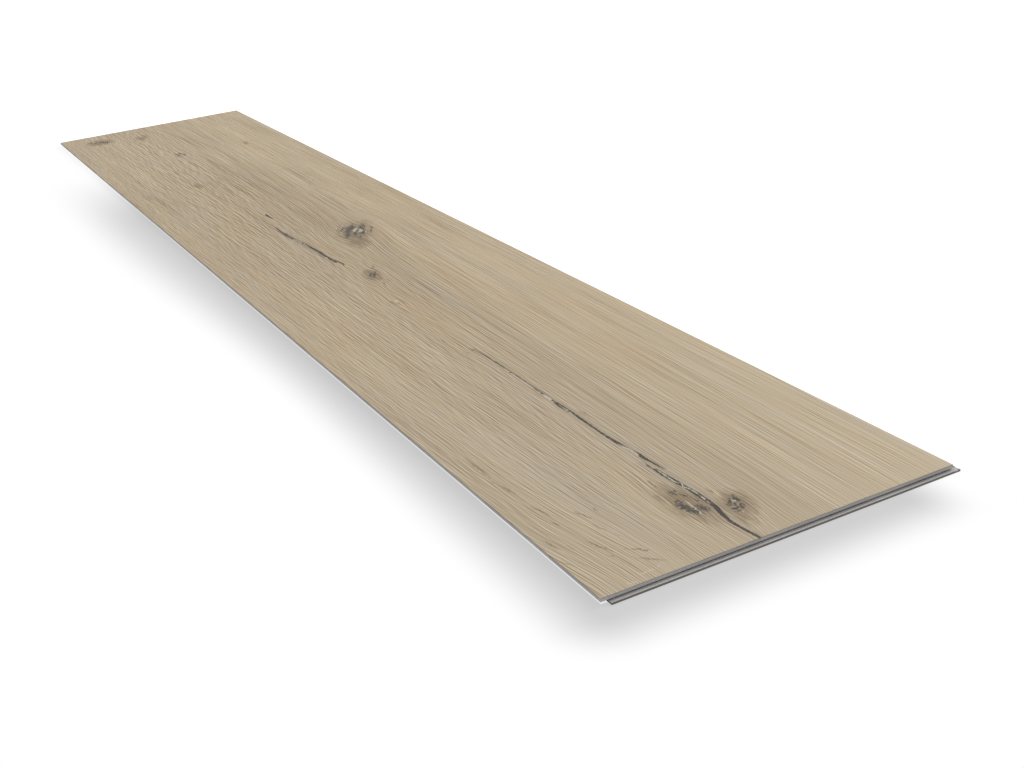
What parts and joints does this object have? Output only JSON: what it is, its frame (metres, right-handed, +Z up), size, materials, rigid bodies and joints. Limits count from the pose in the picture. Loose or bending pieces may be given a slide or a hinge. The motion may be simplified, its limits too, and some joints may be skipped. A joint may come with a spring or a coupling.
{
  "type": "vinyl floor plank",
  "caption": "Rigid vinyl floor plank with an oak-printed face and a grey core, milled on all sides with a click joint: hooks on two edges, grooves with locking lips on the other two.",
  "frame": {"origin": "on the underside, below the centre of the laid face (the 220 by 1220 mm printed face, without the locking lips)", "axes": "+X across the plank, towards the long grooved side; +Y along the plank, towards the hooked short end; +Z up, out of the printed face"},
  "size_m": [0.2226, 1.2226, 0.004],
  "materials": {
    "core": "matte",
    "decor": "satin"
  },
  "bodies": {
    "root": {"core_board": "core", "decor_layer": "decor"}
  },
  "joints": []
}
